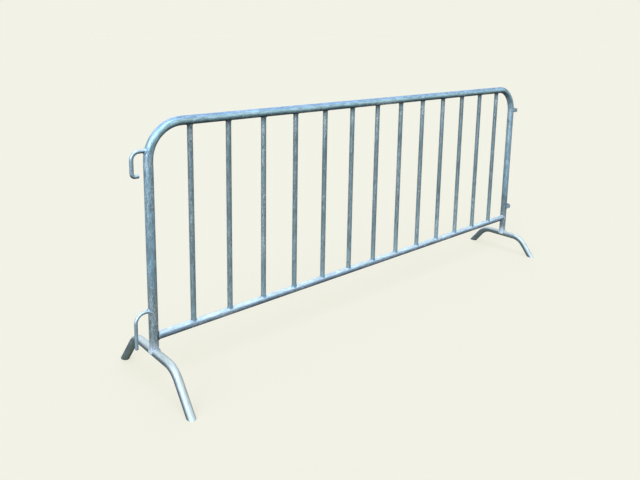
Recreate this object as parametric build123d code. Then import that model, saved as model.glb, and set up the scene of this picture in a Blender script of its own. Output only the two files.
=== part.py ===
from build123d import *
import math
import os

os.makedirs("parts", exist_ok=True)

# A linking crowd and site barrier: a bent tube frame with upright bars on two arched feet.
# Millimetres. +X runs along the panel from the hook end to the loop end, Y runs across the
# feet, +Z is up. The origin lies on the ground under the middle of the whole barrier.

# Frame
OVERALL_HEIGHT = 1100.0
UPRIGHT_SPACING = 2552.0
FRAME_TUBE_OD = 38.0
FRAME_TUBE_WALL = 2.0
FRAME_CORNER_RADIUS = 145.0

# Bottom rail
RAIL_HEIGHT = 215.0
RAIL_TUBE_OD = 33.4
RAIL_TUBE_WALL = 2.0

# Infill bars
BAR_COUNT = 13
BAR_TUBE_OD = 23.0
BAR_TUBE_WALL = 1.5

# Feet: the two are bent from one tube, the one at the loop end lower and narrower
FOOT_TUBE_OD = 35.0
FOOT_TUBE_WALL = 2.5
FOOT_BEND_RADIUS = 100.0
FOOT_LEG_ANGLE = 51.0
HOOK_FOOT_CROWN_HEIGHT = 150.0
HOOK_FOOT_CROWN_LENGTH = 228.0
LOOP_FOOT_CROWN_HEIGHT = 106.0
LOOP_FOOT_CROWN_LENGTH = 170.0
UPRIGHT_SADDLE_LIP = 4.0

# Top hook
TOP_HOOK_ROD = 16.0
TOP_HOOK_BELOW_TOP = 122.0
TOP_HOOK_REACH = 68.0
TOP_HOOK_BEND = 30.0
TOP_HOOK_DROP = 95.0
TOP_HOOK_RETURN_BEND = 13.0
TOP_HOOK_RETURN = 27.0

# Lower hook
LOWER_HOOK_ROD = 14.0
LOWER_HOOK_ABOVE_RAIL = 115.0
LOWER_HOOK_REACH = 74.0
LOWER_HOOK_BEND = 38.0
LOWER_HOOK_DROP = 146.0
LOWER_HOOK_CHAMFER = 1.5

# Loops of flat strap, set lower than the hooks so that the next barrier's arm passes over them
LOOP_STRAP_HEIGHT = 22.0
LOOP_STRAP_THICKNESS = 6.0
LOOP_INNER_WIDTH = 26.0
LOOP_INNER_REACH = 37.0
LOOP_LEG_SEAT = 6.0
TOP_HOOK_OVER_LOOP = 18.0
LOWER_HOOK_OVER_LOOP = 23.0

# Welds at the hooks and the feet
WELD_SIZE = 4.0

# Places that follow from the sizes above
FRAME_RADIUS = FRAME_TUBE_OD / 2
TOP_RAIL_HEIGHT = OVERALL_HEIGHT - FRAME_RADIUS
CORNER_START_HEIGHT = TOP_RAIL_HEIGHT - FRAME_CORNER_RADIUS
TOP_HOOK_HEIGHT = OVERALL_HEIGHT - TOP_HOOK_BELOW_TOP
LOWER_HOOK_HEIGHT = RAIL_HEIGHT + LOWER_HOOK_ABOVE_RAIL
TOP_LOOP_TOP = TOP_HOOK_HEIGHT - TOP_HOOK_ROD / 2 - TOP_HOOK_OVER_LOOP
LOWER_LOOP_TOP = LOWER_HOOK_HEIGHT - LOWER_HOOK_ROD / 2 - LOWER_HOOK_OVER_LOOP
HOOK_END_REACH = max(TOP_HOOK_REACH + TOP_HOOK_ROD / 2, LOWER_HOOK_REACH + LOWER_HOOK_ROD / 2)
LOOP_END_REACH = FRAME_RADIUS + LOOP_INNER_REACH + LOOP_STRAP_THICKNESS
HOOK_UPRIGHT_X = (HOOK_END_REACH - LOOP_END_REACH - UPRIGHT_SPACING) / 2
LOOP_UPRIGHT_X = HOOK_UPRIGHT_X + UPRIGHT_SPACING
BAR_PITCH = UPRIGHT_SPACING / (BAR_COUNT + 1)


def rod_along(path, diameter):
    """A solid round bar whose axis is the path."""
    start = Plane(origin=path @ 0, z_dir=path % 0)
    return sweep(start * Circle(diameter / 2), path=path)


def tube_along(path, diameter, wall):
    """A round tube whose axis is the path."""
    return rod_along(path, diameter) - rod_along(path, diameter - 2 * wall)


def hook_weld(root_x, height, rod):
    """The collar of weld round a hook's root, tapering from the tube that it stands on to the rod."""
    radius = rod / 2 + WELD_SIZE
    seat = math.sqrt(FRAME_RADIUS**2 - radius**2)
    taper_length = FRAME_RADIUS + WELD_SIZE - seat
    from_below = (Align.CENTER, Align.CENTER, Align.MIN)
    collar = Cylinder(radius, seat, align=from_below)
    collar += Pos(0, 0, seat) * Cone(radius, rod / 2, taper_length, align=from_below)
    return Pos(root_x, 0, height) * Rot(0, -90, 0) * collar


def hook_root_x(height):
    """Where the axis of the hook-end upright lies at a height, also where the corner's bend has begun."""
    climb = max(height - CORNER_START_HEIGHT, 0)
    return HOOK_UPRIGHT_X + FRAME_CORNER_RADIUS - math.sqrt(FRAME_CORNER_RADIUS**2 - climb**2)


def foot_axis(upright_x, crown_height, crown_length):
    """The foot's centre line: a level crown, two bends and two sloping legs that pass the ground."""
    angle = math.radians(FOOT_LEG_ANGLE)
    corner_y = crown_length / 2 + FOOT_BEND_RADIUS * math.tan(angle / 2)
    sink = FOOT_TUBE_OD
    end_y = corner_y + (crown_height + sink) / math.tan(angle)
    points = [
        (upright_x, -end_y, -sink),
        (upright_x, -corner_y, crown_height),
        (upright_x, corner_y, crown_height),
        (upright_x, end_y, -sink),
    ]
    return FilletPolyline(*points, radius=FOOT_BEND_RADIUS)


def make_foot(axis):
    """An arched tube foot with its open legs cut level where they stand."""
    ground_size = 4 * (abs(axis.position_at(0).Y) + FOOT_TUBE_OD)
    ground = Box(ground_size, ground_size, ground_size, align=(Align.CENTER, Align.CENTER, Align.MAX))
    return tube_along(axis, FOOT_TUBE_OD, FOOT_TUBE_WALL) - Pos(axis.position_at(0).X, 0, 0) * ground


def frame_axis():
    """The frame's centre line, from one foot's crown over the top rail to the other's."""
    points = [
        (HOOK_UPRIGHT_X, 0, HOOK_FOOT_CROWN_HEIGHT + UPRIGHT_SADDLE_LIP),
        (HOOK_UPRIGHT_X, 0, TOP_RAIL_HEIGHT),
        (LOOP_UPRIGHT_X, 0, TOP_RAIL_HEIGHT),
        (LOOP_UPRIGHT_X, 0, LOOP_FOOT_CROWN_HEIGHT + UPRIGHT_SADDLE_LIP),
    ]
    return FilletPolyline(*points, radius=FRAME_CORNER_RADIUS)


def foot_weld(upright_x, crown_height):
    """The bead round an upright's saddle, between the upright and the crown of its foot."""
    reach = FRAME_RADIUS + WELD_SIZE
    crown_radius = FOOT_TUBE_OD / 2 + WELD_SIZE
    crown = Rot(90, 0, 0) * Cylinder(crown_radius, 2 * reach)
    collar = Cylinder(reach, crown_radius, align=(Align.CENTER, Align.CENTER, Align.MIN))
    return Pos(upright_x, 0, crown_height) * (crown & collar)


def make_frame(axis, outside, foot_solids):
    """The bent frame tube, its two ends cut to a saddle over the crowns of the feet and welded."""
    bore = rod_along(axis, FRAME_TUBE_OD - 2 * FRAME_TUBE_WALL)
    welded = outside + foot_weld(HOOK_UPRIGHT_X, HOOK_FOOT_CROWN_HEIGHT)
    welded += foot_weld(LOOP_UPRIGHT_X, LOOP_FOOT_CROWN_HEIGHT)
    return welded - bore - foot_solids


def make_bottom_rail(frame_outside):
    """The bottom rail, coped at both ends to the round of the uprights."""
    axis = Line((HOOK_UPRIGHT_X, 0, RAIL_HEIGHT), (LOOP_UPRIGHT_X, 0, RAIL_HEIGHT))
    return tube_along(axis, RAIL_TUBE_OD, RAIL_TUBE_WALL) - frame_outside


def make_bar():
    """One infill bar at X = 0, coped to the round of both rails."""
    axis = Line((0, 0, RAIL_HEIGHT), (0, 0, TOP_RAIL_HEIGHT))
    seat_length = 3 * BAR_TUBE_OD
    along_rail = Rot(0, 90, 0)
    lower_seat = Pos(0, 0, RAIL_HEIGHT) * along_rail * Cylinder(RAIL_TUBE_OD / 2, seat_length)
    upper_seat = Pos(0, 0, TOP_RAIL_HEIGHT) * along_rail * Cylinder(FRAME_RADIUS, seat_length)
    return tube_along(axis, BAR_TUBE_OD, BAR_TUBE_WALL) - [lower_seat, upper_seat]


def make_top_hook(frame_outside):
    """The top hook: an arm out of the upright, a shank down and a short return towards it."""
    root_x = hook_root_x(TOP_HOOK_HEIGHT)
    shank_x = HOOK_UPRIGHT_X - TOP_HOOK_REACH
    return_height = TOP_HOOK_HEIGHT - TOP_HOOK_DROP
    points = [
        (root_x, 0, TOP_HOOK_HEIGHT),
        (shank_x, 0, TOP_HOOK_HEIGHT),
        (shank_x, 0, return_height),
        (shank_x + TOP_HOOK_RETURN, 0, return_height),
    ]
    axis = FilletPolyline(*points, radius=[TOP_HOOK_BEND, TOP_HOOK_RETURN_BEND])
    rod = rod_along(axis, TOP_HOOK_ROD)
    return rod + hook_weld(root_x, TOP_HOOK_HEIGHT, TOP_HOOK_ROD) - frame_outside


def make_lower_hook(frame_outside):
    """The lower hook: an arm, one wide bend and a straight shank with a chamfered free end."""
    root_x = hook_root_x(LOWER_HOOK_HEIGHT)
    shank_x = HOOK_UPRIGHT_X - LOWER_HOOK_REACH
    points = [
        (root_x, 0, LOWER_HOOK_HEIGHT),
        (shank_x, 0, LOWER_HOOK_HEIGHT),
        (shank_x, 0, LOWER_HOOK_HEIGHT - LOWER_HOOK_DROP),
    ]
    axis = FilletPolyline(*points, radius=LOWER_HOOK_BEND)
    rod = rod_along(axis, LOWER_HOOK_ROD)
    free_end = rod.edges().group_by(Axis.Z)[0]
    rod = chamfer(free_end, LOWER_HOOK_CHAMFER)
    return rod + hook_weld(root_x, LOWER_HOOK_HEIGHT, LOWER_HOOK_ROD) - frame_outside


def make_loop(top, frame_outside):
    """A level eye of strap whose two legs are coped to the sides of the loop-end upright."""
    inner_turn = LOOP_INNER_WIDTH / 2
    outer_turn = inner_turn + LOOP_STRAP_THICKNESS
    turn_x = LOOP_UPRIGHT_X + LOOP_END_REACH - outer_turn
    leg_length = turn_x - LOOP_UPRIGHT_X - LOOP_LEG_SEAT
    leg_align = (Align.MAX, Align.CENTER)
    outline = Circle(outer_turn) + Rectangle(leg_length, 2 * outer_turn, align=leg_align)
    eye = Circle(inner_turn) + Rectangle(leg_length, 2 * inner_turn, align=leg_align)
    strap = extrude(outline - eye, LOOP_STRAP_HEIGHT)
    return Pos(turn_x, 0, top - LOOP_STRAP_HEIGHT) * strap - frame_outside


hook_foot_axis = foot_axis(HOOK_UPRIGHT_X, HOOK_FOOT_CROWN_HEIGHT, HOOK_FOOT_CROWN_LENGTH)
loop_foot_axis = foot_axis(LOOP_UPRIGHT_X, LOOP_FOOT_CROWN_HEIGHT, LOOP_FOOT_CROWN_LENGTH)
foot_solids = [rod_along(hook_foot_axis, FOOT_TUBE_OD), rod_along(loop_foot_axis, FOOT_TUBE_OD)]
frame_line = frame_axis()
frame_outside = rod_along(frame_line, FRAME_TUBE_OD)
bar = make_bar()

nodes = {
    "frame_tube": make_frame(frame_line, frame_outside, foot_solids),
    "bottom_rail": make_bottom_rail(frame_outside),
    "hook_end_foot": make_foot(hook_foot_axis),
    "loop_end_foot": make_foot(loop_foot_axis),
    "top_hook": make_top_hook(frame_outside),
    "lower_hook": make_lower_hook(frame_outside),
    "top_loop": make_loop(TOP_LOOP_TOP, frame_outside),
    "lower_loop": make_loop(LOWER_LOOP_TOP, frame_outside),
}
for number in range(1, BAR_COUNT + 1):
    nodes[f"infill_bar_{number:02d}"] = Pos(HOOK_UPRIGHT_X + number * BAR_PITCH, 0, 0) * bar

for name, shape in nodes.items():
    export_step(shape, f"parts/{name}.step")
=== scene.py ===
"""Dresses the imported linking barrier: galvanised tube, rod and strap, welds, zinc drips and a studio."""

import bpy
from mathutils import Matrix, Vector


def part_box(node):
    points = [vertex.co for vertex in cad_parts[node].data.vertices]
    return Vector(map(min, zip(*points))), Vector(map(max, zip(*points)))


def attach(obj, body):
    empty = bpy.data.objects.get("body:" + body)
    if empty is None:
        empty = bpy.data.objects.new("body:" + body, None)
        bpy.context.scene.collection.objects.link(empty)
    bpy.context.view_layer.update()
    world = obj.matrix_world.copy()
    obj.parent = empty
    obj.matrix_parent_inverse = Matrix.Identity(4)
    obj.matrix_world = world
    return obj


bl_info = {
    "name": "Linking Barrier Looks",
    "version": (1, 0, 0),
    "blender": (4, 5, 0),
    "location": "3D View > Sidebar > Barrier",
    "description": "Finishes a welded, galvanised tube barrier and sets it in a plain studio",
    "category": "Object",
}

import math
import random

import bmesh
import bpy
from bpy.props import FloatProperty, FloatVectorProperty, IntProperty, PointerProperty
from mathutils import Matrix, Quaternion, Vector

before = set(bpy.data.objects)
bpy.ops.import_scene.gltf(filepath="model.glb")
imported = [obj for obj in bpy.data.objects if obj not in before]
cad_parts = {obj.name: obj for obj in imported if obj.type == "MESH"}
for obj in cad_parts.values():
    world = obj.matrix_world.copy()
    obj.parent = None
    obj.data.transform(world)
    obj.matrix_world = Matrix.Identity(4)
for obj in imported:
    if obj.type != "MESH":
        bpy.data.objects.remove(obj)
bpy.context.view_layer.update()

MM = 0.001
BODY = "root"

# Studio lamps: the setting that holds the strength, the direction it shines from, and its spread in degrees
LAMPS = [
    ("overhead", (-0.10, -0.05, 1.0), 120.0),
    ("panel", (-0.86, -0.42, 0.19), 60.0),
    ("key", (-0.12, -0.42, 0.90), 34.0),
    ("back", (0.50, 0.80, 0.20), 80.0),
]
# The share of the floor's paleness that takes light and shadow, and what the lamps' wide spread adds to it
PAPER_SHARE = 0.2
LAMP_SPILL = 0.045
# The floor's size, how far it lies below the feet so that it doesn't touch them, and how far the camera sees
FLOOR_RADIUS = 120.0
FLOOR_DROP = 0.5 * MM
VIEW_REACH = 300.0
# In millimetres, as the camera takes it
SENSOR_WIDTH = 36.0

# Stock of the barrier, as radii and lengths in metres
FRAME_RADIUS = 19.0 * MM
RAIL_RADIUS = 16.7 * MM
FOOT_RADIUS = 17.5 * MM
BAR_RADIUS = 11.5 * MM
TOP_HOOK_RADIUS = 8.0 * MM
LOWER_HOOK_RADIUS = 7.0 * MM
CORNER_RADIUS = 145.0 * MM
TOP_HOOK_DROP = 95.0 * MM
LOWER_HOOK_DROP = 146.0 * MM
COLLAR = 4.0 * MM
SADDLE_LIP = 4.0 * MM
STRAP_INSIDE = 13.0 * MM
STRAP_OUTSIDE = 19.0 * MM
STRAP_HALF_HEIGHT = 11.0 * MM

# Weld beads: how far a bead's middle stands off the tube, in half widths of the bead, how much each ripple
# and the welder's hand swell it, and how finely it is divided
BEAD_SEAT = 0.4
RIPPLE_SWELL = 0.13
HAND_SWELL = (0.03, 0.09)
HAND_LOBES = (2, 3, 5)
FEWEST_RIPPLES = 6
RIPPLE_STEPS = 4
BEAD_SIDES = 10
# How far a bead at a loop is set in from the strap's edge, in half widths of the bead
STRAP_INSET = 0.5
# Lumps and drips: how uneven a lump is, how far drips keep from the rails, and their half width, with their
# half length and height in half widths
LUMP_RANGE = (0.9, 1.08)
DRIP_ABOVE_RAIL = 50.0 * MM
DRIP_BELOW_TOP = 150.0 * MM
DRIP_WIDTH = (1.0 * MM, 2.2 * MM)
DRIP_STRETCH = (1.2, 3.0)
DRIP_HEIGHT = 0.5

# The zinc's pattern: streaks are about 6 times as long as they are wide, and grains and flecks about 3 times
STREAK_STRETCH = 0.16
GRAIN_STRETCH = 0.32
# Where the coats of painted shade and light sit, from facing away from the light, 0, to facing it, 1
COAT_STOPS = (0.10, 0.33, 0.62, 0.87)
# How much mottling and grains add to the streaks, and the range of the sum from dark to light
MOTTLE_SHARE = 0.3
GRAIN_SHARE = 0.3
TONE_RANGE = (0.55, 1.05)
# How much mottling adds to the flecks, the range over which they show, and their strength as a multiple of
# the contrast
BLOOM_SHARE = 0.5
BLOOM_RANGE = (0.80, 1.08)
FLECK_STRENGTH = 2.4
# How far round a mark the flecks crowd, and how much it adds to them
CROWD_REACH = 45.0 * MM
CROWD_GAIN = 0.08
# Relief: how far a grain's roughness goes down and up, the height of flecks next to pits, and the size,
# depth and strength of the pits, which are really about 1 mm wide and are drawn coarser, so that they show
SMOOTHER = 0.06
ROUGHER = 0.08
FLECK_RELIEF = 0.8
PIT_SIZE = 5.0 * MM
PIT_DEPTH = 0.4 * MM
PIT_STRENGTH = 0.3
# Zinc oxide dulls the mirror at the rim of a round tube
RIM_TINT = "#39434A"
# The direction of the feet's painted light: up and a little to the front, so the rear legs get painted shade
FOOT_PAINTED_LIGHT_FROM = (0.0, -0.3, 0.95)

# Coats of the welds: plain, with painted shadow, or with a painted highlight
PLAIN_WELD = "galvanised_weld"
PAINTED_SHADOW_WELD = "galvanised_weld_sheltered"
PAINTED_HIGHLIGHT_WELD = "galvanised_weld_drained"

# Nodes and places that the frame gives
BARS = sorted(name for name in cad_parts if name.startswith("infill_bar_"))
FEET = ["hook_end_foot", "loop_end_foot"]
HOOKS = ["top_hook", "lower_hook"]
LOOPS = ["top_loop", "lower_loop"]


def middle(node):
    """The middle of a CAD node's box."""
    low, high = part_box(node)
    return (low + high) / 2


HOOK_X = middle("hook_end_foot").x
LOOP_X = middle("loop_end_foot").x
BAR_X = [middle(name).x for name in BARS]
RAIL_Z = middle("bottom_rail").z
TOP_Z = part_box("frame_tube")[1].z - FRAME_RADIUS
CORNER_Z = TOP_Z - CORNER_RADIUS
TOP_HOOK_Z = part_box("top_hook")[0].z + TOP_HOOK_RADIUS + TOP_HOOK_DROP
LOWER_HOOK_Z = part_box("lower_hook")[0].z + LOWER_HOOK_DROP
# The loop-end foot is lower than the hook-end foot: the fall per metre along the barrier, and the height of
# both crowns where that is made up for
FALL = (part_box("hook_end_foot")[1].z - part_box("loop_end_foot")[1].z) / (LOOP_X - HOOK_X)
CROWN_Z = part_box("hook_end_foot")[1].z + FALL * HOOK_X

# Heights at which the coat changes along the uprights and the bars, from the feet up; the uprights start
# with a painted highlight where they meet the feet
UPRIGHT_HEIGHTS = [CROWN_Z + step * MM for step in (-2.5, 37.5, 172.5, 332.5)]
BAR_HEIGHTS = [RAIL_Z + step * MM for step in (20.0, 320.0)]
# Heights above which the frame counts as lying and the bars take the top rail's painted shadow, half the
# length of the change on the bars, and heights round which the flecks crowd
BEND_HEIGHT = TOP_Z - 65.0 * MM
RAIL_SHADOW_HEIGHT = TOP_Z - FRAME_RADIUS - 10.0 * MM
RAIL_SHADOW_FADE = 12.0 * MM
CORNER_MARK = CORNER_Z - 8.0 * MM
HEAD_MARK = TOP_Z - 75.0 * MM


def linear(hex_colour):
    """A colour written as sRGB hex, as the linear red, green and blue that shaders take."""
    parts = [int(hex_colour[i:i + 2], 16) / 255 for i in (1, 3, 5)]
    return tuple(p / 12.92 if p <= 0.04045 else ((p + 0.055) / 1.055) ** 2.4 for p in parts)


def opaque(colour):
    """A linear colour with the alpha that a colour socket takes."""
    return (*colour, 1.0)


# Settings


class BarrierZincSettings(bpy.types.PropertyGroup):
    """The zinc coat on tube, rod and welds."""

    standing: FloatVectorProperty(
        name="Standing zinc", description="Coat of the uprights", subtype="COLOR", size=3,
        min=0.0, max=1.0, default=linear("#7A939F"))
    lower: FloatVectorProperty(
        name="Lower zinc", description="Greyer coat low on the uprights", subtype="COLOR", size=3,
        min=0.0, max=1.0, default=linear("#788689"))
    # Painted highlight: the pale coat where the uprights meet the feet, on the saddle welds and at the loop
    # end
    painted_highlight: FloatVectorProperty(
        name="Drained zinc", description="Pale coat where the zinc ran together over the feet",
        subtype="COLOR", size=3, min=0.0, max=1.0, default=linear("#BCC8D2"))
    # Painted shadow: the dark coat at the bar heads under the top rail and at the rail's hook end
    painted_shadow: FloatVectorProperty(
        name="Sheltered zinc", description="Dull coat of bars and beads under the top rail",
        subtype="COLOR", size=3, min=0.0, max=1.0, default=linear("#39444A"))
    bar: FloatVectorProperty(
        name="Bar zinc", description="Coat of the infill bars", subtype="COLOR", size=3,
        min=0.0, max=1.0, default=linear("#728387"))
    bar_foot: FloatVectorProperty(
        name="Bar foot zinc", description="Thicker, paler coat at the lower ends of the infill bars",
        subtype="COLOR", size=3, min=0.0, max=1.0, default=linear("#83969B"))
    # The top rail's coats paint light and shade by facing: pale facing up as painted sky light, dark below
    top: FloatVectorProperty(
        name="Top zinc", description="Coat of the top rail where it faces the sky", subtype="COLOR", size=3,
        min=0.0, max=1.0, default=linear("#8CABC8"))
    flank: FloatVectorProperty(
        name="Flank zinc", description="Coat on the flanks of the top rail", subtype="COLOR", size=3,
        min=0.0, max=1.0, default=linear("#A9CBD4"))
    shade: FloatVectorProperty(
        name="Shaded zinc", description="Coat of the top rail where it faces down", subtype="COLOR", size=3,
        min=0.0, max=1.0, default=linear("#547079"))
    # The underside coat is painted shade, not weathering
    under: FloatVectorProperty(
        name="Underside zinc", description="Weathered coat on the undersides", subtype="COLOR", size=3,
        min=0.0, max=1.0, default=linear("#2A343A"))
    # The bottom rail's coats paint light and shade by facing: painted sky light on top, painted shade below
    rail_top: FloatVectorProperty(
        name="Rail top zinc", description="Coat of the bottom rail where it faces the sky",
        subtype="COLOR", size=3, min=0.0, max=1.0, default=linear("#C9DCE6"))
    rail_flank: FloatVectorProperty(
        name="Rail flank zinc", description="Coat on the flanks of the bottom rail", subtype="COLOR", size=3,
        min=0.0, max=1.0, default=linear("#788DA0"))
    rail_shade: FloatVectorProperty(
        name="Rail shaded zinc", description="Coat of the bottom rail where it faces down",
        subtype="COLOR", size=3, min=0.0, max=1.0, default=linear("#4F5C69"))
    # The feet's coats paint light and shade by facing: a painted highlight on top, painted shade below
    foot_top: FloatVectorProperty(
        name="Foot top zinc", description="Coat of the feet where it faces the weather",
        subtype="COLOR", size=3, min=0.0, max=1.0, default=linear("#C4CCC9"))
    foot_flank: FloatVectorProperty(
        name="Foot flank zinc", description="Coat on the flanks of the feet", subtype="COLOR", size=3,
        min=0.0, max=1.0, default=linear("#5F6B73"))
    foot_shade: FloatVectorProperty(
        name="Foot shaded zinc", description="Coat of the feet where it faces down", subtype="COLOR", size=3,
        min=0.0, max=1.0, default=linear("#5F6D64"))
    # The hooks' and loops' coats paint light and shade by facing, as the rails' do
    link_top: FloatVectorProperty(
        name="Link top zinc", description="Coat of hooks and loops where it faces the sky",
        subtype="COLOR", size=3, min=0.0, max=1.0, default=linear("#C3D3DC"))
    link_flank: FloatVectorProperty(
        name="Link flank zinc", description="Coat on the flanks of hooks and loops", subtype="COLOR", size=3,
        min=0.0, max=1.0, default=linear("#A3B7C2"))
    link_shade: FloatVectorProperty(
        name="Link shaded zinc", description="Coat of hooks and loops where it faces down",
        subtype="COLOR", size=3, min=0.0, max=1.0, default=linear("#4E5F67"))
    fleck: FloatVectorProperty(
        name="Zinc fleck", description="Specks of ash and white bloom in the coat", subtype="COLOR", size=3,
        min=0.0, max=1.0, default=linear("#DCE6EA"))
    spangle_size: FloatProperty(
        name="Spangle", description="Width of one zinc grain", subtype="DISTANCE", unit="LENGTH",
        min=0.001, max=0.05, default=10.0 * MM)
    mottle_size: FloatProperty(
        name="Mottling", description="Width of a light or dull patch", subtype="DISTANCE", unit="LENGTH",
        min=0.01, max=0.5, default=85.0 * MM)
    streak_size: FloatProperty(
        name="Streaks", description="Width of a streak along the tube", subtype="DISTANCE", unit="LENGTH",
        min=0.001, max=0.1, default=5.0 * MM)
    fleck_size: FloatProperty(
        name="Flecks", description="Width of a fleck", subtype="DISTANCE", unit="LENGTH",
        min=0.001, max=0.05, default=3.6 * MM)


class BarrierWeldSettings(bpy.types.PropertyGroup):
    """The weld beads and the drips of zinc."""

    bead: FloatProperty(
        name="Bead", description="Half width of a bead at bars and rails", subtype="DISTANCE",
        unit="LENGTH", min=0.001, max=0.01, default=2.0 * MM)
    hook_bead: FloatProperty(
        name="Hook bead", description="Half width of a bead at hooks and feet", subtype="DISTANCE",
        unit="LENGTH", min=0.001, max=0.01, default=2.2 * MM)
    ripple_pitch: FloatProperty(
        name="Ripple", description="Distance between the ripples of a bead", subtype="DISTANCE",
        unit="LENGTH", min=0.001, max=0.02, default=4.2 * MM)
    drip_count: IntProperty(
        name="Drips", description="Number of drops of zinc on the bars and uprights",
        min=0, max=400, default=90)
    seed: IntProperty(name="Seed", description="Start of the random draws", min=0, default=11)


class BarrierStageSettings(bpy.types.PropertyGroup):
    """The studio: floor, backdrop, light and camera."""

    backdrop: FloatVectorProperty(
        name="Backdrop", description="Pale floor and backdrop as the camera sees them", subtype="COLOR",
        size=3, min=0.0, max=1.0, default=linear("#F2F2E6"))
    sky: FloatVectorProperty(
        name="Lamp colour", description="Colour of the studio lamps", subtype="COLOR", size=3,
        min=0.0, max=1.0, default=linear("#DCEBFF"))
    ambient: FloatVectorProperty(
        name="Ambient", description="Light from all round on matt surfaces", subtype="COLOR", size=3,
        min=0.0, max=1.0, default=linear("#58606A"))
    overhead: FloatProperty(
        name="Overhead", description="Strength of the large overhead light", min=0.0, max=10.0, default=1.5)
    panel: FloatProperty(
        name="Side panel", description="Strength of the panel at the hook end",
        min=0.0, max=10.0, default=4.0)
    key: FloatProperty(
        name="Key", description="Strength of the front light", min=0.0, max=10.0, default=1.35)
    back: FloatProperty(
        name="Back", description="Strength of the light behind the barrier", min=0.0, max=10.0, default=1.6)
    camera_place: FloatVectorProperty(
        name="Camera", description="Where the camera stands", subtype="TRANSLATION", size=3,
        default=(-2.31965, -2.1457, 1.4443))
    heading: FloatProperty(
        name="Heading", description="Camera's direction over the ground, from +X towards +Y",
        subtype="ANGLE", default=math.radians(47.985))
    pitch: FloatProperty(
        name="Pitch", description="Camera's tilt above the horizon", subtype="ANGLE",
        default=math.radians(-10.214))
    roll: FloatProperty(
        name="Roll", description="Camera's turn about its own axis", subtype="ANGLE",
        default=math.radians(0.995))
    lens: FloatProperty(
        name="Lens", description="Focal length on a sensor 36 mm wide", subtype="DISTANCE_CAMERA",
        default=34.72)
    shift: FloatProperty(
        name="Shift", description="Upward shift of the lens, in picture widths", default=-0.15625)


# Materials


def add_node(tree, kind, inputs=None, **settings):
    """Adds a node with its settings, and sets or links each input by its name or number."""
    node = tree.nodes.new(kind)
    for name, value in settings.items():
        setattr(node, name, value)
    for key, value in (inputs or {}).items():
        if isinstance(value, bpy.types.NodeSocket):
            tree.links.new(value, node.inputs[key])
        else:
            node.inputs[key].default_value = value
    return node


def empty_material(name):
    """A new node material with nothing but its output."""
    material = bpy.data.materials.new(name)
    material.use_nodes = True
    tree = material.node_tree
    tree.nodes.clear()
    return material, tree, add_node(tree, "ShaderNodeOutputMaterial")


def unbent(tree, place):
    """Coordinates in which the frame tube is laid out straight: X is the distance from the middle of its
    bend, Y stays, and Z runs along the tube from the middle of the top rail."""
    centre = (HOOK_X + LOOP_X) / 2
    straight = (LOOP_X - HOOK_X) / 2 - CORNER_RADIUS
    axes = add_node(tree, "ShaderNodeSeparateXYZ", {"Vector": place}).outputs
    side = add_node(tree, "ShaderNodeMath", {0: axes["X"], 1: centre}, operation="SUBTRACT").outputs[0]
    reach = add_node(tree, "ShaderNodeMath", {0: side}, operation="ABSOLUTE").outputs[0]
    level = add_node(tree, "ShaderNodeMath", {0: reach, 1: straight}, operation="MINIMUM").outputs[0]
    out = add_node(tree, "ShaderNodeMath", {0: reach, 1: level}, operation="SUBTRACT").outputs[0]
    below = add_node(tree, "ShaderNodeMath", {0: CORNER_Z, 1: axes["Z"]}, operation="SUBTRACT").outputs[0]
    depth = add_node(tree, "ShaderNodeMath", {0: below, 1: 0.0}, operation="MAXIMUM").outputs[0]
    above = add_node(tree, "ShaderNodeMath", {0: depth, 1: below}, operation="SUBTRACT").outputs[0]
    turn = add_node(tree, "ShaderNodeMath", {0: out, 1: above}, operation="ARCTAN2").outputs[0]
    arc = add_node(tree, "ShaderNodeMath", {0: turn, 1: CORNER_RADIUS, 2: level}, operation="MULTIPLY_ADD")
    run = add_node(tree, "ShaderNodeMath", {0: arc.outputs[0], 1: depth})
    way = add_node(tree, "ShaderNodeMath", {0: side}, operation="SIGN")
    along = add_node(tree, "ShaderNodeMath", {0: run.outputs[0], 1: way.outputs[0]}, operation="MULTIPLY")
    spoke = add_node(tree, "ShaderNodeCombineXYZ", {"X": out, "Z": above})
    radial = add_node(tree, "ShaderNodeVectorMath", {0: spoke.outputs[0]}, operation="LENGTH")
    return add_node(tree, "ShaderNodeCombineXYZ", {
        "X": radial.outputs["Value"], "Y": axes["Y"], "Z": along.outputs[0]}).outputs[0]


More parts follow.
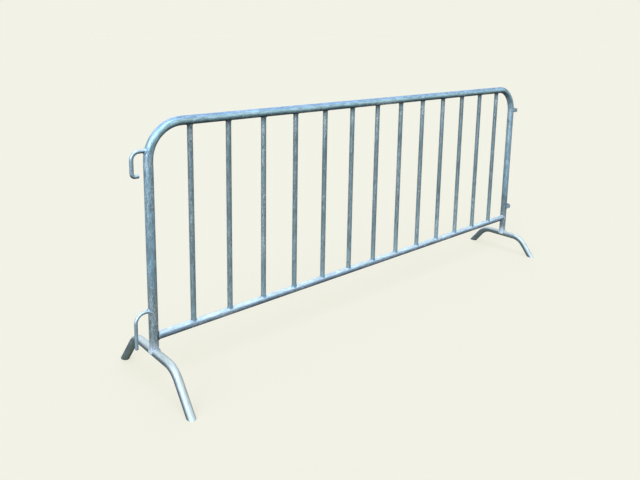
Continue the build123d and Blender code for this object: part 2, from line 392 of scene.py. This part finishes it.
def galvanised(name, zinc, coats, run="", standing=(), lying=0.0, fade=40.0 * MM, marks=(), contrast=0.15,
               roughness=0.36, painted_light_from=(0.0, 0.0, 1.0), bent=False):
    """Hot-dip galvanised steel: a dull crystalline zinc coat with fine streaks along the tube, grains that
    are a little lighter or darker than their neighbours and white flecks of ash. Its colour also holds
    painted
    light and shade: it is painted palest where it faces the painted light and darkest where it faces away.

    coats are its colours from the side that faces away from the painted light to the side that faces it, and
    the direction argument after roughness is where the painted light comes from. standing, where it is
    given, holds the colours of the same tube below the height lying, each with its height in metres, and
    fade is half the length of the change between the two.
    run names the axes that the streaks follow, and bent makes them follow the frame's bends. marks are
    heights in metres round which the flecks crowd, and contrast is how far the streaks and grains go to
    either side of the coat's colour.
    The grains are really 3 to 8 mm wide and are drawn coarser, so that they show at this distance."""
    material, tree, output = empty_material(name)
    place = add_node(tree, "ShaderNodeTexCoord").outputs["Object"]
    axes = add_node(tree, "ShaderNodeSeparateXYZ", {"Vector": place}).outputs
    level = axes["Z"]
    straight = unbent(tree, place) if bent else place
    along = []
    for stretch in (STREAK_STRETCH, GRAIN_STRETCH):
        scale = [stretch if axis in run else 1.0 for axis in "XYZ"]
        along.append(add_node(tree, "ShaderNodeMapping", {"Vector": straight, "Scale": scale}).outputs[0])
    streaked, grained = along

    # Painted light and shade: the coat is picked by how far the surface faces the painted light
    facing = add_node(tree, "ShaderNodeNewGeometry").outputs["Normal"]
    facing_painted_light = add_node(tree, "ShaderNodeVectorMath", {0: facing, 1: painted_light_from}, operation="DOT_PRODUCT")
    turned = add_node(tree, "ShaderNodeMapRange", {
        "Value": facing_painted_light.outputs["Value"], "From Min": -1.0, "From Max": 1.0})
    ramps = [(turned.outputs[0], list(zip(COAT_STOPS, coats)))]
    if standing:
        rise = add_node(tree, "ShaderNodeMath", {0: axes["X"], 1: FALL, 2: level}, operation="MULTIPLY_ADD")
        ramps.append((rise.outputs[0], standing))
    tints = []
    for value, pairs in ramps:
        ramp = add_node(tree, "ShaderNodeValToRGB", {"Fac": value})
        stops = ramp.color_ramp.elements
        stops[0].position = pairs[0][0]
        stops[1].position = pairs[-1][0]
        for position, _ in pairs[1:-1]:
            stops.new(position)
        for stop, (_, tint) in zip(stops, pairs):
            stop.color = opaque(tint)
        tints.append(ramp.outputs["Color"])
    coat = tints[0]
    if standing:
        lies = add_node(tree, "ShaderNodeMapRange", {
            "Value": level, "From Min": lying - fade, "From Max": lying + fade})
        mixed = add_node(tree, "ShaderNodeMix", {0: lies.outputs[0], 6: tints[1], 7: coat}, data_type="RGBA")
        coat = mixed.outputs[2]

    grain = add_node(tree, "ShaderNodeTexVoronoi", {"Vector": grained, "Scale": 1 / zinc.spangle_size})
    grain_tone = add_node(tree, "ShaderNodeSeparateColor", {"Color": grain.outputs["Color"]}).outputs["Red"]
    mottle = add_node(tree, "ShaderNodeTexNoise", {
        "Vector": grained, "Scale": 1 / zinc.mottle_size, "Detail": 2.0, "Roughness": 0.5}).outputs["Fac"]
    streaks = add_node(tree, "ShaderNodeTexNoise", {
        "Vector": streaked, "Scale": 1 / zinc.streak_size, "Detail": 3.0, "Roughness": 0.6}).outputs["Fac"]
    soft = add_node(tree, "ShaderNodeMath", {
        0: mottle, 1: MOTTLE_SHARE, 2: streaks}, operation="MULTIPLY_ADD")
    tone = add_node(tree, "ShaderNodeMath", {
        0: grain_tone, 1: GRAIN_SHARE, 2: soft.outputs[0]}, operation="MULTIPLY_ADD")
    light = add_node(tree, "ShaderNodeMapRange", {
        "Value": tone.outputs[0], "From Min": TONE_RANGE[0], "From Max": TONE_RANGE[1],
        "To Min": 1.0 - contrast, "To Max": 1.0 + contrast})
    varied = add_node(tree, "ShaderNodeHueSaturation", {"Value": light.outputs[0], "Color": coat})

    specks = add_node(tree, "ShaderNodeTexNoise", {
        "Vector": grained, "Scale": 1 / zinc.fleck_size, "Detail": 2.0, "Roughness": 0.6}).outputs["Fac"]
    bloom = add_node(tree, "ShaderNodeMath", {
        0: mottle, 1: BLOOM_SHARE, 2: specks}, operation="MULTIPLY_ADD")
    for mark in marks:
        away = add_node(tree, "ShaderNodeMath", {0: level, 1: mark}, operation="SUBTRACT")
        gap = add_node(tree, "ShaderNodeMath", {0: away.outputs[0]}, operation="ABSOLUTE")
        crowd = add_node(tree, "ShaderNodeMapRange", {
            "Value": gap.outputs[0], "From Max": CROWD_REACH, "To Min": CROWD_GAIN, "To Max": 0.0})
        bloom = add_node(tree, "ShaderNodeMath", {0: bloom.outputs[0], 1: crowd.outputs[0]})
    fleck = add_node(tree, "ShaderNodeMapRange", {
        "Value": bloom.outputs[0], "From Min": BLOOM_RANGE[0], "From Max": BLOOM_RANGE[1],
        "To Min": 0.0, "To Max": FLECK_STRENGTH * contrast})
    colour = add_node(tree, "ShaderNodeMix", {
        0: fleck.outputs[0], 6: varied.outputs[0], 7: opaque(zinc.fleck)}, data_type="RGBA")

    sheen = add_node(tree, "ShaderNodeMapRange", {
        "Value": grain_tone, "To Min": roughness - SMOOTHER, "To Max": roughness + ROUGHER})
    pitting = add_node(tree, "ShaderNodeTexNoise", {
        "Vector": grained, "Scale": 1 / PIT_SIZE, "Detail": 4.0, "Roughness": 0.6})
    height = add_node(tree, "ShaderNodeMath", {
        0: fleck.outputs[0], 1: FLECK_RELIEF, 2: pitting.outputs["Fac"]}, operation="MULTIPLY_ADD")
    bump = add_node(tree, "ShaderNodeBump", {
        "Strength": PIT_STRENGTH, "Distance": PIT_DEPTH, "Height": height.outputs[0]})
    shader = add_node(tree, "ShaderNodeBsdfPrincipled", {
        "Base Color": colour.outputs[2], "Metallic": 0.5, "Roughness": sheen.outputs[0],
        "Specular Tint": opaque(linear(RIM_TINT)), "Normal": bump.outputs["Normal"]})
    tree.links.new(shader.outputs["BSDF"], output.inputs["Surface"])
    return material


def dress(nodes, material):
    """Gives CAD nodes a material in place of the plain one."""
    for name in nodes:
        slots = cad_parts[name].data.materials
        slots.clear()
        slots.append(material)


# Shapes


def shaped_piece(name, bm, material):
    """Closes a bmesh as a smooth piece that rides on the barrier."""
    bmesh.ops.recalc_face_normals(bm, faces=bm.faces)
    for face in bm.faces:
        face.smooth = True
    mesh = bpy.data.meshes.new(name)
    bm.to_mesh(mesh)
    bm.free()
    mesh.materials.append(material)
    piece = bpy.data.objects.new(name, mesh)
    bpy.context.scene.collection.objects.link(piece)
    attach(piece, BODY)


def bead_ring(bm, place, member, seat, bead, pitch, rng, lip=0.0, lean=0.0):
    """Runs one rippled bead round the foot of a round member that stands on a round seat.

    The member stands along local Z, and the seat's axis is local X, or leans below it by an angle. The ring
    is spun flat and then lifted to the saddle where the two rounds meet, and no lower than the lip."""
    known = set(bm.verts)
    ring = member + BEAD_SEAT * bead
    saddle = seat + BEAD_SEAT * bead
    start = Matrix.Translation((ring, 0, 0)) @ Matrix.Rotation(math.pi / 2, 4, "X")
    section = bmesh.ops.create_circle(bm, segments=BEAD_SIDES, radius=bead, matrix=start)["verts"]
    edges = list({edge for vert in section for edge in vert.link_edges})
    ripples = max(FEWEST_RIPPLES, round(2 * math.pi * ring / pitch))
    bmesh.ops.spin(bm, geom=section + edges, axis=(0, 0, 1), cent=(0, 0, 0), angle=2 * math.pi,
                   steps=ripples * RIPPLE_STEPS, use_merge=True)
    swings = [(rng.uniform(*HAND_SWELL), rng.uniform(0, 2 * math.pi), lobes) for lobes in HAND_LOBES]
    for vert in bm.verts:
        if vert in known:
            continue
        angle = math.atan2(vert.co.y, vert.co.x)
        swell = 1 + RIPPLE_SWELL * math.cos(ripples * angle)
        swell += sum(size * math.cos(lobes * angle + turn) for size, turn, lobes in swings)
        out = ring + (math.hypot(vert.co.x, vert.co.y) - ring) * swell
        across = ring * math.sin(angle)
        rise = math.sqrt(max(saddle ** 2 - across ** 2, lip ** 2)) / math.cos(lean)
        rise -= ring * math.cos(angle) * math.tan(lean)
        local = Vector((out * math.cos(angle), out * math.sin(angle), rise + vert.co.z * swell))
        vert.co = place @ local


def lump(bm, place, size, rng):
    """One uneven rounded lump, with size as its half lengths along local X, Y and Z."""
    scale = Matrix.Diagonal((*size, 1.0))
    made = bmesh.ops.create_icosphere(bm, subdivisions=2, radius=1.0, matrix=Matrix.Identity(4))
    for vert in made["verts"]:
        vert.co = place @ scale @ (vert.co * rng.uniform(*LUMP_RANGE))


# Operators


class BARRIER_OT_tubes(bpy.types.Operator):
    """Coats the frame, rail, bars and feet with zinc"""

    bl_idname = "barrier.tubes"
    bl_label = "Galvanised Tubes"

    def execute(self, context):
        if len(BARS) == 0:
            raise RuntimeError("the frame holds no infill bars")
        zinc = context.scene.barrier_zinc
        # These coats paint light and shade by the way each surface faces
        high = (zinc.under, zinc.shade, zinc.flank, zinc.top)
        low = (zinc.under, zinc.rail_shade, zinc.rail_flank, zinc.rail_top)
        foot = (zinc.foot_shade, zinc.foot_shade, zinc.foot_flank, zinc.foot_top)
        # The bar heads take the top rail's painted shadow
        painted_shadow = len(COAT_STOPS) * (zinc.painted_shadow,)
        # The uprights start with a painted highlight over the feet
        uprights = list(zip(UPRIGHT_HEIGHTS, (zinc.painted_highlight, zinc.lower, zinc.lower, zinc.standing)))
        bars = list(zip(BAR_HEIGHTS, (zinc.bar_foot, zinc.bar)))
        dress(["frame_tube"], galvanised(
            "galvanised_steel_frame", zinc, high, "Z", uprights, BEND_HEIGHT, marks=(CORNER_MARK,),
            contrast=0.34, bent=True))
        dress(BARS, galvanised(
            "galvanised_steel_bar", zinc, painted_shadow, "Z", bars, RAIL_SHADOW_HEIGHT, RAIL_SHADOW_FADE, (HEAD_MARK,),
            contrast=0.27))
        dress(["bottom_rail"], galvanised("galvanised_steel_rail", zinc, low, "X", contrast=0.26))
        dress(FEET, galvanised(
            "galvanised_steel_foot", zinc, foot, "YZ", contrast=0.12, roughness=0.55, painted_light_from=FOOT_PAINTED_LIGHT_FROM))
        return {"FINISHED"}


class BARRIER_OT_links(bpy.types.Operator):
    """Coats the hooks and loops with zinc"""

    bl_idname = "barrier.links"
    bl_label = "Galvanised Hooks and Loops"

    def execute(self, context):
        zinc = context.scene.barrier_zinc
        coats = (zinc.under, zinc.link_shade, zinc.link_flank, zinc.link_top)
        dress([*HOOKS, *LOOPS], galvanised("galvanised_steel_link", zinc, coats, roughness=0.34))
        return {"FINISHED"}


def weld_material(context, name=PLAIN_WELD):
    """The zinc over the welds, made once for each coat: plain, or dark with painted shadow under the top
    rail and at the rail's hook end, or pale with a painted highlight over the feet and at the rail's loop
    end."""
    zinc = context.scene.barrier_zinc
    coats = {
        PLAIN_WELD: (zinc.under, zinc.shade, zinc.flank, zinc.top),
        PAINTED_SHADOW_WELD: len(COAT_STOPS) * (zinc.painted_shadow,),
        PAINTED_HIGHLIGHT_WELD: (zinc.shade, zinc.painted_highlight, zinc.painted_highlight, zinc.foot_top),
    }
    return bpy.data.materials.get(name) or galvanised(name, zinc, coats[name], roughness=0.46)


class BARRIER_OT_bar_welds(bpy.types.Operator):
    """Runs a bead round both ends of each infill bar"""

    bl_idname = "barrier.bar_welds"
    bl_label = "Bar Welds"

    def execute(self, context):
        welds = context.scene.barrier_welds
        rng = random.Random(welds.seed)
        feet = bmesh.new()
        heads = bmesh.new()
        hanging = Matrix.Rotation(math.pi, 4, "X")
        for x in BAR_X:
            foot = Matrix.Translation((x, 0, RAIL_Z))
            head = Matrix.Translation((x, 0, TOP_Z)) @ hanging
            bead_ring(feet, foot, BAR_RADIUS, RAIL_RADIUS, welds.bead, welds.ripple_pitch, rng)
            bead_ring(heads, head, BAR_RADIUS, FRAME_RADIUS, welds.bead, welds.ripple_pitch, rng)
        shaped_piece("bar_foot_welds", feet, weld_material(context))
        # The bar heads' beads take the top rail's painted shadow
        shaped_piece("bar_head_welds", heads, weld_material(context, PAINTED_SHADOW_WELD))
        return {"FINISHED"}


class BARRIER_OT_frame_welds(bpy.types.Operator):
    """Runs a bead round the rail's ends and the saddles over the feet"""

    bl_idname = "barrier.frame_welds"
    bl_label = "Frame Welds"

    def execute(self, context):
        welds = context.scene.barrier_welds
        rng = random.Random(welds.seed + 1)
        # The hook end's weld takes painted shadow, and the loop end's a painted highlight
        ends = (
            ("hook_end_rail_weld", HOOK_X, math.pi / 2, PAINTED_SHADOW_WELD),
            ("loop_end_rail_weld", LOOP_X, -math.pi / 2, PAINTED_HIGHLIGHT_WELD),
        )
        for name, x, turn, coat in ends:
            bm = bmesh.new()
            rail_end = Matrix.Translation((x, 0, RAIL_Z)) @ Matrix.Rotation(turn, 4, "Y")
            bead_ring(bm, rail_end, RAIL_RADIUS, FRAME_RADIUS, welds.bead, welds.ripple_pitch, rng)
            shaped_piece(name, bm, weld_material(context, coat))
        saddles = bmesh.new()
        collar = FRAME_RADIUS + COLLAR - welds.hook_bead
        across = Matrix.Rotation(math.pi / 2, 4, "Z")
        for foot in FEET:
            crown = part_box(foot)[1].z - FOOT_RADIUS
            saddle = Matrix.Translation((middle(foot).x, 0, crown)) @ across
            bead_ring(saddles, saddle, collar, FOOT_RADIUS, welds.hook_bead, welds.ripple_pitch, rng,
                      lip=SADDLE_LIP)
        # The saddle welds take a painted highlight
        shaped_piece("foot_welds", saddles, weld_material(context, PAINTED_HIGHLIGHT_WELD))
        return {"FINISHED"}


class BARRIER_OT_link_welds(bpy.types.Operator):
    """Runs the beads at the roots of the hooks and along the legs of the loops"""

    bl_idname = "barrier.link_welds"
    bl_label = "Hook and Loop Welds"

    def execute(self, context):
        welds = context.scene.barrier_welds
        rng = random.Random(welds.seed + 2)
        bm = bmesh.new()
        outward = Matrix.Rotation(-math.pi / 2, 4, "Y")
        for z, radius in ((TOP_HOOK_Z, TOP_HOOK_RADIUS), (LOWER_HOOK_Z, LOWER_HOOK_RADIUS)):
            lean = math.asin(max(z - CORNER_Z, 0.0) / CORNER_RADIUS)
            axis_x = HOOK_X + CORNER_RADIUS * (1 - math.cos(lean))
            root = Matrix.Translation((axis_x, 0, z)) @ outward
            collar = radius + COLLAR - welds.hook_bead
            bead_ring(bm, root, collar, FRAME_RADIUS, welds.hook_bead, welds.ripple_pitch, rng, lean=lean)
        half = (welds.bead, welds.bead, STRAP_HALF_HEIGHT)
        for loop in LOOPS:
            level = middle(loop).z
            for edge in (STRAP_INSIDE, STRAP_OUTSIDE):
                across = edge - STRAP_INSET * welds.bead
                ahead = math.sqrt(FRAME_RADIUS ** 2 - across ** 2) + BEAD_SEAT * welds.bead
                for side in (-1, 1):
                    lump(bm, Matrix.Translation((LOOP_X + ahead, side * across, level)), half, rng)
        shaped_piece("link_welds", bm, weld_material(context))
        return {"FINISHED"}


class BARRIER_OT_drips(bpy.types.Operator):
    """Sets drops of zinc on the bars and uprights"""

    bl_idname = "barrier.drips"
    bl_label = "Zinc Drips"

    def execute(self, context):
        welds = context.scene.barrier_welds
        rng = random.Random(welds.seed + 3)
        bm = bmesh.new()
        uprights = [(x, FRAME_RADIUS) for x in (HOOK_X, LOOP_X)]
        tubes = [(x, BAR_RADIUS) for x in BAR_X] + 2 * uprights
        for _ in range(welds.drip_count):
            x, radius = rng.choice(tubes)
            z = rng.uniform(RAIL_Z + DRIP_ABOVE_RAIL, TOP_Z - DRIP_BELOW_TOP)
            turn = Matrix.Rotation(rng.uniform(0, 2 * math.pi), 4, "Z")
            width = rng.uniform(*DRIP_WIDTH)
            size = (DRIP_HEIGHT * width, width, width * rng.uniform(*DRIP_STRETCH))
            place = Matrix.Translation((x, 0, z)) @ turn @ Matrix.Translation((radius, 0, 0))
            lump(bm, place, size, rng)
        shaped_piece("zinc_drips", bm, weld_material(context))
        return {"FINISHED"}


def pale_ray(tree):
    """1 for the rays that see the backdrop as it is: camera, glossy and transmission rays."""
    path = add_node(tree, "ShaderNodeLightPath").outputs
    seen = add_node(tree, "ShaderNodeMath", {
        0: path["Is Camera Ray"], 1: path["Is Glossy Ray"]}, operation="MAXIMUM")
    both = add_node(tree, "ShaderNodeMath", {
        0: seen.outputs[0], 1: path["Is Transmission Ray"]}, operation="MAXIMUM")
    return both.outputs[0]


def floor_material(stage):
    """Matt studio paper: a diffuse share that takes light and shadow, and the rest of its paleness only
    for the rays that see it directly, so that where nothing shades it, it is as pale as the backdrop."""
    material, tree, output = empty_material("studio_paper")
    lit = [PAPER_SHARE * pale for pale in stage.backdrop]
    falls = sum(getattr(stage, lamp) * Vector(source).normalized().z for lamp, source, _ in LAMPS)
    light = [falls * sky / math.pi + ambient + LAMP_SPILL for sky, ambient in zip(stage.sky, stage.ambient)]
    rest = [pale * (1 - PAPER_SHARE * level) for pale, level in zip(stage.backdrop, light)]
    paper = add_node(tree, "ShaderNodeBsdfDiffuse", {"Color": opaque(lit)})
    glow = add_node(tree, "ShaderNodeEmission", {"Color": opaque(rest), "Strength": pale_ray(tree)})
    both = add_node(tree, "ShaderNodeAddShader", {0: paper.outputs[0], 1: glow.outputs[0]})
    tree.links.new(both.outputs[0], output.inputs["Surface"])
    return material


def add_sun(name, colour, strength, spread, source):
    """A distant soft light that shines from the direction of its source."""
    lamp = bpy.data.lights.new(name, "SUN")
    lamp.color = colour
    lamp.energy = strength
    lamp.angle = spread
    holder = bpy.data.objects.new(name, lamp)
    holder.rotation_mode = "QUATERNION"
    holder.rotation_quaternion = Vector(source).to_track_quat("Z", "Y")
    bpy.context.scene.collection.objects.link(holder)


class BARRIER_OT_stage(bpy.types.Operator):
    """Builds the floor, the backdrop, the light and the camera"""

    bl_idname = "barrier.stage"
    bl_label = "Studio"

    def execute(self, context):
        scene = context.scene
        stage = scene.barrier_stage
        scene.view_settings.view_transform = "Standard"

        bm = bmesh.new()
        bmesh.ops.create_circle(bm, cap_ends=True, segments=128, radius=FLOOR_RADIUS,
                                matrix=Matrix.Translation((0, 0, -FLOOR_DROP)))
        mesh = bpy.data.meshes.new("floor")
        bm.to_mesh(mesh)
        bm.free()
        mesh.materials.append(floor_material(stage))
        floor = bpy.data.objects.new("floor", mesh)
        scene.collection.objects.link(floor)

        world = scene.world or bpy.data.worlds.new("studio")
        scene.world = world
        world.use_nodes = True
        tree = world.node_tree
        tree.nodes.clear()
        shade = add_node(tree, "ShaderNodeMix", {
            0: pale_ray(tree), 6: opaque(stage.ambient), 7: opaque(stage.backdrop)}, data_type="RGBA")
        back = add_node(tree, "ShaderNodeBackground", {"Color": shade.outputs[2]})
        output = add_node(tree, "ShaderNodeOutputWorld")
        tree.links.new(back.outputs[0], output.inputs["Surface"])

        for lamp, source, spread in LAMPS:
            add_sun(lamp + "_light", stage.sky, getattr(stage, lamp), math.radians(spread), source)

        data = bpy.data.cameras.new("photo_view")
        data.sensor_width = SENSOR_WIDTH
        data.lens = stage.lens
        data.shift_y = stage.shift
        data.clip_end = VIEW_REACH
        camera = bpy.data.objects.new("photo_view", data)
        flat = math.cos(stage.pitch)
        ahead = Vector((
            flat * math.cos(stage.heading), flat * math.sin(stage.heading), math.sin(stage.pitch)))
        camera.rotation_mode = "QUATERNION"
        camera.rotation_quaternion = ahead.to_track_quat("-Z", "Y") @ Quaternion((0, 0, 1), stage.roll)
        camera.location = stage.camera_place
        scene.collection.objects.link(camera)
        scene.camera = camera
        return {"FINISHED"}


STEPS = [
    BARRIER_OT_tubes, BARRIER_OT_links, BARRIER_OT_bar_welds, BARRIER_OT_frame_welds, BARRIER_OT_link_welds,
    BARRIER_OT_drips, BARRIER_OT_stage,
]


class BARRIER_PT_sidebar(bpy.types.Panel):
    """The barrier's settings and steps"""

    bl_idname = "BARRIER_PT_sidebar"
    bl_label = "Linking Barrier"
    bl_space_type = "VIEW_3D"
    bl_region_type = "UI"
    bl_category = "Barrier"

    def draw(self, context):
        layout = self.layout
        scene = context.scene
        for settings in (scene.barrier_zinc, scene.barrier_welds, scene.barrier_stage):
            box = layout.box()
            for name in settings.__annotations__:
                box.prop(settings, name)
        for step in STEPS:
            layout.operator(step.bl_idname)


CLASSES = [BarrierZincSettings, BarrierWeldSettings, BarrierStageSettings, *STEPS, BARRIER_PT_sidebar]


def register():
    """Adds the classes, and the settings to the scene."""
    for item in CLASSES:
        bpy.utils.register_class(item)
    bpy.types.Scene.barrier_zinc = PointerProperty(type=BarrierZincSettings)
    bpy.types.Scene.barrier_welds = PointerProperty(type=BarrierWeldSettings)
    bpy.types.Scene.barrier_stage = PointerProperty(type=BarrierStageSettings)


def unregister():
    """Takes the settings and classes away again."""
    del bpy.types.Scene.barrier_stage
    del bpy.types.Scene.barrier_welds
    del bpy.types.Scene.barrier_zinc
    for item in reversed(CLASSES):
        bpy.utils.unregister_class(item)


def main():
    """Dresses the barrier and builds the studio."""
    register()
    bpy.ops.barrier.tubes()
    bpy.ops.barrier.links()
    bpy.ops.barrier.bar_welds()
    bpy.ops.barrier.frame_welds()
    bpy.ops.barrier.link_welds()
    bpy.ops.barrier.drips()
    bpy.ops.barrier.stage()


if __name__ == "__main__":
    main()
